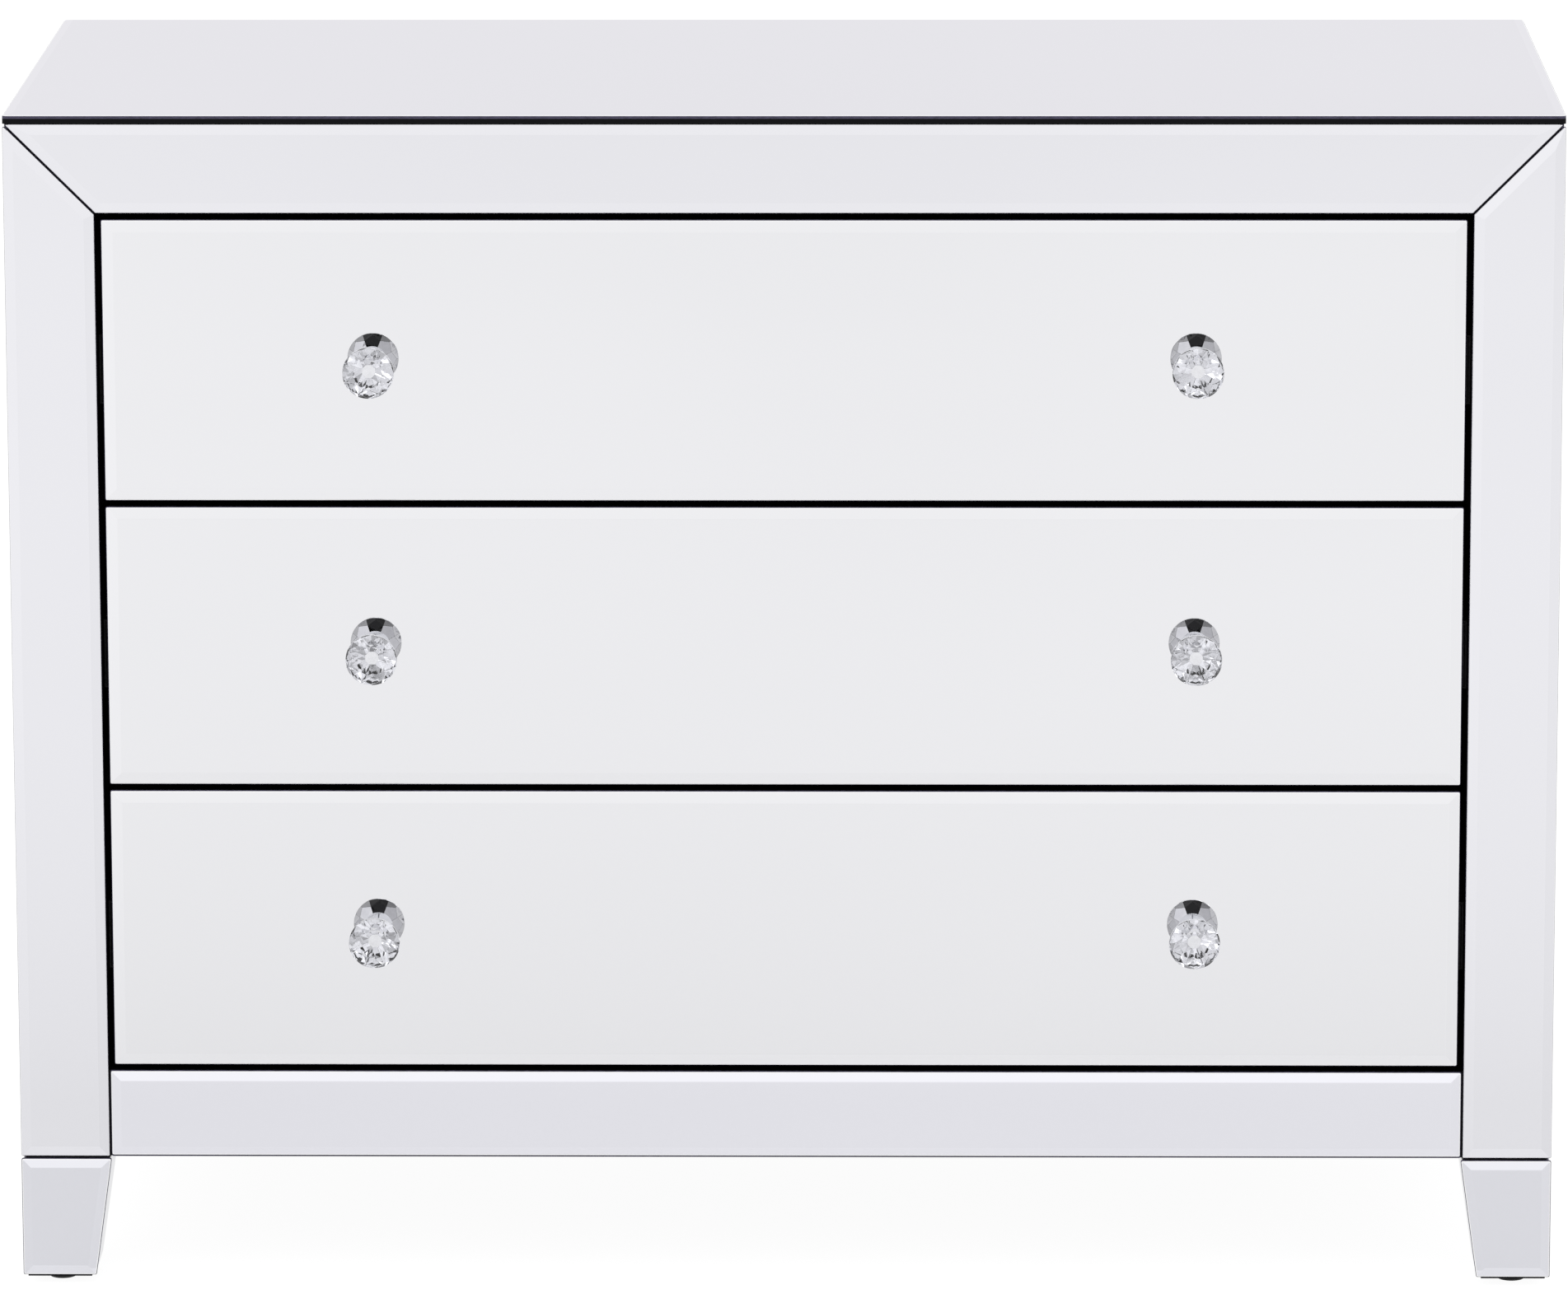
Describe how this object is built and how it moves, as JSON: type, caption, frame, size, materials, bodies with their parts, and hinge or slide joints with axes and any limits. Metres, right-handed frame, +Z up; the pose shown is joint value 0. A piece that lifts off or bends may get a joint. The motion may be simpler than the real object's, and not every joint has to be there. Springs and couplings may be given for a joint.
{
  "type": "chest of drawers",
  "caption": "Low free-standing chest of drawers clad in bevelled mirror glass, with cut crystal knobs, telescopic runners and short tapered legs.",
  "frame": {"origin": "on the floor, under the middle of the chest's length and of its depth over the knobs", "axes": "+X to the right seen from the front, +Y from the front to the back, +Z up"},
  "size_m": [1, 0.4838, 0.7755],
  "materials": {
    "mirror_glass": "silvered glass with ground bevels",
    "black_paint": "satin black paint on fibreboard",
    "drawer_lining": "matt black foil on board",
    "back_panel": "matt dark hardboard",
    "crystal": "clear cut crystal with polished facets",
    "chrome_plate": "polished chrome",
    "runner_steel": "satin black coated sheet steel",
    "screw_steel": "zinc-plated steel",
    "glide_plastic": "moulded black plastic"
  },
  "bodies": {
    "carcass": {"top_board": "black_paint", "bottom_board": "black_paint", "left_side_panel": "black_paint", "right_side_panel": "black_paint", "left_inner_side": "drawer_lining", "right_inner_side": "drawer_lining", "back_panel": "back_panel", "left_stile": "black_paint", "right_stile": "black_paint", "top_rail": "black_paint", "bottom_rail": "black_paint", "front_left_leg": "black_paint", "front_right_leg": "black_paint", "back_left_leg": "black_paint", "back_right_leg": "black_paint", "top_mirror": "mirror_glass", "left_side_mirror": "mirror_glass", "right_side_mirror": "mirror_glass", "left_stile_mirror": "mirror_glass", "right_stile_mirror": "mirror_glass", "top_rail_mirror": "mirror_glass", "bottom_rail_mirror": "mirror_glass", "leg_mirrors": "mirror_glass", "leg_glides": "glide_plastic", "leg_bolts": "screw_steel", "back_panel_screws": "screw_steel", "cabinet_runners": "runner_steel"},
    "bottom_drawer": {"bottom_drawer_mirror": "mirror_glass", "bottom_drawer_front": "black_paint", "bottom_drawer_left_side": "drawer_lining", "bottom_drawer_right_side": "drawer_lining", "bottom_drawer_back": "drawer_lining", "bottom_drawer_bottom": "drawer_lining", "bottom_drawer_knob_crystals": "crystal", "bottom_drawer_knob_stems": "chrome_plate", "bottom_drawer_knob_screws": "screw_steel", "bottom_drawer_runners": "runner_steel"},
    "bottom_drawer_runner_slides": {"bottom_drawer_middle_runners": "runner_steel"},
    "middle_drawer": {"middle_drawer_mirror": "mirror_glass", "middle_drawer_front": "black_paint", "middle_drawer_left_side": "drawer_lining", "middle_drawer_right_side": "drawer_lining", "middle_drawer_back": "drawer_lining", "middle_drawer_bottom": "drawer_lining", "middle_drawer_knob_crystals": "crystal", "middle_drawer_knob_stems": "chrome_plate", "middle_drawer_knob_screws": "screw_steel", "middle_drawer_runners": "runner_steel"},
    "middle_drawer_runner_slides": {"middle_drawer_middle_runners": "runner_steel"},
    "top_drawer": {"top_drawer_mirror": "mirror_glass", "top_drawer_front": "black_paint", "top_drawer_left_side": "drawer_lining", "top_drawer_right_side": "drawer_lining", "top_drawer_back": "drawer_lining", "top_drawer_bottom": "drawer_lining", "top_drawer_knob_crystals": "crystal", "top_drawer_knob_stems": "chrome_plate", "top_drawer_knob_screws": "screw_steel", "top_drawer_runners": "runner_steel"},
    "top_drawer_runner_slides": {"top_drawer_middle_runners": "runner_steel"}
  },
  "joints": [
    {"name": "bottom_drawer_slide", "type": "slide", "parent": "carcass", "child": "bottom_drawer", "axis": [0, -1, 0], "range_m": [0, 0.35]},
    {"name": "bottom_middle_runner_slide", "type": "slide", "parent": "carcass", "child": "bottom_drawer_runner_slides", "axis": [0, -1, 0], "range_m": [0, 0.175]},
    {"name": "middle_drawer_slide", "type": "slide", "parent": "carcass", "child": "middle_drawer", "axis": [0, -1, 0], "range_m": [0, 0.35]},
    {"name": "middle_middle_runner_slide", "type": "slide", "parent": "carcass", "child": "middle_drawer_runner_slides", "axis": [0, -1, 0], "range_m": [0, 0.175]},
    {"name": "top_drawer_slide", "type": "slide", "parent": "carcass", "child": "top_drawer", "axis": [0, -1, 0], "range_m": [0, 0.35]},
    {"name": "top_middle_runner_slide", "type": "slide", "parent": "carcass", "child": "top_drawer_runner_slides", "axis": [0, -1, 0], "range_m": [0, 0.175]}
  ],
  "couplings": [
    {"joint": "bottom_middle_runner_slide", "follows": "bottom_drawer_slide", "ratio": 0.5},
    {"joint": "middle_middle_runner_slide", "follows": "middle_drawer_slide", "ratio": 0.5},
    {"joint": "top_middle_runner_slide", "follows": "top_drawer_slide", "ratio": 0.5}
  ]
}
